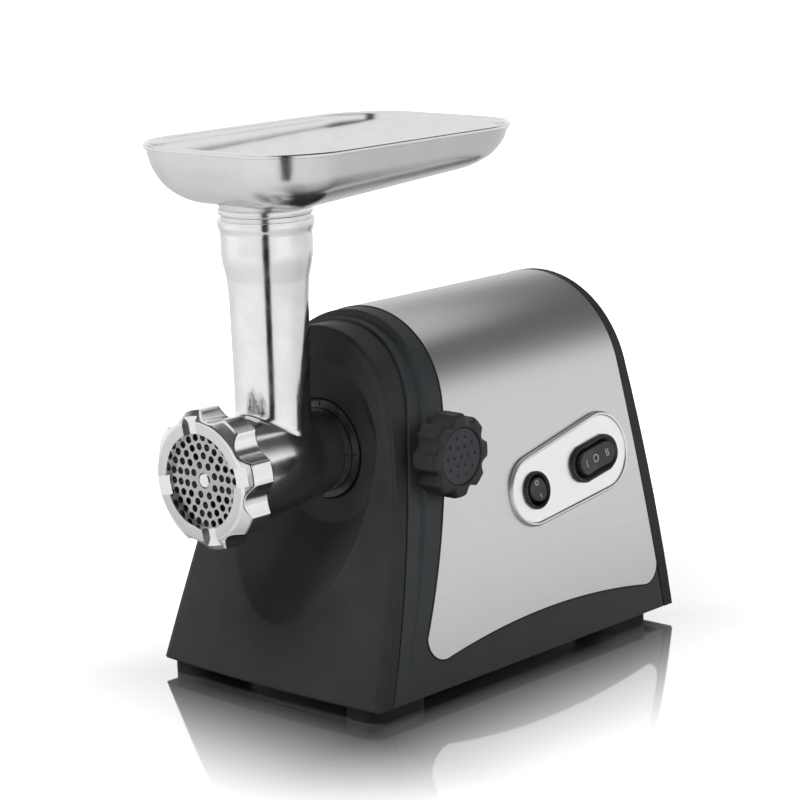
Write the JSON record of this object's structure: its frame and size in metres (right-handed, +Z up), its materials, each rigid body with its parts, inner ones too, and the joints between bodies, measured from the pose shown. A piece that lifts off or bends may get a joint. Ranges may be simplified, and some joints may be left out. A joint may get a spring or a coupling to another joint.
{
  "type": "electric meat grinder",
  "caption": "Countertop electric meat grinder: arched black casing with steel wrap, cast grinding head with ring nut, feed throat and oblong pan, clamp knob, two rocker switches.",
  "frame": {"origin": "centre of the bounding box on the floor plane under the feet; left-right symmetric about X = 0 through the feed throat", "axes": "+X the control side, -Y the front with the ring nut, +Z up"},
  "size_m": [0.1805, 0.322, 0.322],
  "materials": {
    "black_shell": "fine-grained satin",
    "band_shell": "satin",
    "brushed_wrap": "brushed lengthwise",
    "rubber_black": "matte",
    "silver_trim": "satin silver with a bright rim",
    "switch_black": "gloss",
    "rocker_black": "satin",
    "knob_black": "satin",
    "port_grey": "satin",
    "inner_black": "moulded",
    "cast_aluminium": "polished casting",
    "steel_blade": "ground",
    "tray_sheet": "polished",
    "nylon_natural": "moulded nylon",
    "shaft_steel": "ground",
    "sintered_gear": "sintered",
    "bronze_bush": "oiled",
    "lamination": "stamped stack",
    "copper_wire": "enamelled copper",
    "copper_bar": "turned copper",
    "bracket_zinc": "zinc casting",
    "brush_box": "moulded",
    "carbon": "pressed carbon",
    "breaker_red": "gloss"
  },
  "bodies": {
    "housing": {"front_cover": "black_shell", "rear_cover": "black_shell", "base_plate": "black_shell", "casing": "band_shell", "steel_wrap": "brushed_wrap", "feet": "rubber_black", "cord_gland": "rubber_black", "control_plate": "silver_trim", "power_switch_frame": "switch_black", "direction_switch_frame": "switch_black", "port_ring": "port_grey", "head_socket": "inner_black", "gear_case": "inner_black", "gear_case_cover": "inner_black", "motor_cradle": "inner_black", "base_screws": "steel_blade", "rear_cover_screws": "steel_blade", "gear_case_screws": "steel_blade", "motor_bolts": "steel_blade", "gear_spindles": "shaft_steel", "motor_bearings": "shaft_steel", "output_bushes": "bronze_bush", "stator_core": "lamination", "stator_coils": "copper_wire", "motor_front_bracket": "bracket_zinc", "motor_rear_bracket": "bracket_zinc", "brush_holders": "brush_box", "carbon_brushes": "carbon", "overload_breaker": "breaker_red"},
    "head": {"grinder_barrel": "cast_aluminium", "auger_bush": "nylon_natural"},
    "plate": {"cutting_plate": "steel_blade"},
    "nut": {"ring_nut": "cast_aluminium"},
    "screw": {"auger": "cast_aluminium", "cutting_blade": "steel_blade"},
    "tray": {"hopper_tray": "tray_sheet"},
    "output": {"output_shaft": "shaft_steel", "output_gear": "sintered_gear"},
    "second": {"second_gear": "nylon_natural"},
    "first": {"first_gear": "nylon_natural"},
    "rotor": {"motor_shaft": "shaft_steel", "motor_pinion": "shaft_steel", "rotor_core": "lamination", "rotor_windings": "copper_wire", "commutator": "copper_bar", "cooling_fan": "inner_black"},
    "washer": {"clamp_washer": "steel_blade"},
    "knob": {"clamp_knob": "knob_black", "knob_cap": "knob_black", "clamp_screw": "steel_blade"},
    "power_rocker": {"power_rocker": "rocker_black"},
    "direction_rocker": {"direction_rocker": "rocker_black"}
  },
  "joints": [
    {"name": "head_slide", "type": "slide", "parent": "housing", "child": "head", "axis": [0, -1, 0], "range_m": [0, 0.045]},
    {"name": "tray_lift", "type": "slide", "parent": "head", "child": "tray", "axis": [0, 0, 1], "range_m": [0, 0.03]},
    {"name": "plate_slide", "type": "slide", "parent": "head", "child": "plate", "axis": [0, -1, 0], "range_m": [0, 0.0075]},
    {"name": "nut_turn", "type": "hinge", "parent": "plate", "child": "nut", "pos_m": [0, -0.146, 0.138], "axis": [0, -1, 0], "range_deg": [0, 1080]},
    {"name": "auger_spin", "type": "hinge", "parent": "head", "child": "screw", "pos_m": [0, -0.101, 0.138], "axis": [0, 1, 0], "continuous": true},
    {"name": "output_spin", "type": "hinge", "parent": "housing", "child": "output", "pos_m": [0, 0.009, 0.138], "axis": [0, 1, 0], "continuous": true},
    {"name": "second_spin", "type": "hinge", "parent": "housing", "child": "second", "pos_m": [-0.026, 0.009, 0.10066], "axis": [0, 1, 0], "continuous": true},
    {"name": "first_spin", "type": "hinge", "parent": "housing", "child": "first", "pos_m": [0.00946, 0.024, 0.08847], "axis": [0, 1, 0], "continuous": true},
    {"name": "rotor_spin", "type": "hinge", "parent": "housing", "child": "rotor", "pos_m": [0, 0.084, 0.06], "axis": [0, 1, 0], "continuous": true},
    {"name": "knob_travel", "type": "slide", "parent": "housing", "child": "washer", "axis": [1, 0, 0], "range_m": [0, 0.0045]},
    {"name": "knob_turn", "type": "hinge", "parent": "washer", "child": "knob", "pos_m": [0.08, -0.0436, 0.1424], "axis": [1, 0, 0], "range_deg": [0, 1080]},
    {"name": "power_switch", "type": "hinge", "parent": "housing", "child": "power_rocker", "pos_m": [0.07799, 0.03555, 0.1046], "axis": [-0.027, 0.9871, 0.1576], "range_deg": [0, 14]},
    {"name": "direction_switch", "type": "hinge", "parent": "housing", "child": "direction_rocker", "pos_m": [0.07676, 0.09162, 0.11298], "axis": [-0.1669, -0.1599, 0.9729], "range_deg": [-10, 10]}
  ],
  "couplings": [
    {"joint": "plate_slide", "follows": "nut_turn", "m_per_rad": 0.00039789},
    {"joint": "knob_travel", "follows": "knob_turn", "m_per_rad": 0.00023873},
    {"joint": "first_spin", "follows": "rotor_spin", "ratio": -0.2},
    {"joint": "second_spin", "follows": "rotor_spin", "ratio": 0.05},
    {"joint": "output_spin", "follows": "rotor_spin", "ratio": -0.015},
    {"joint": "auger_spin", "follows": "rotor_spin", "ratio": -0.015}
  ]
}
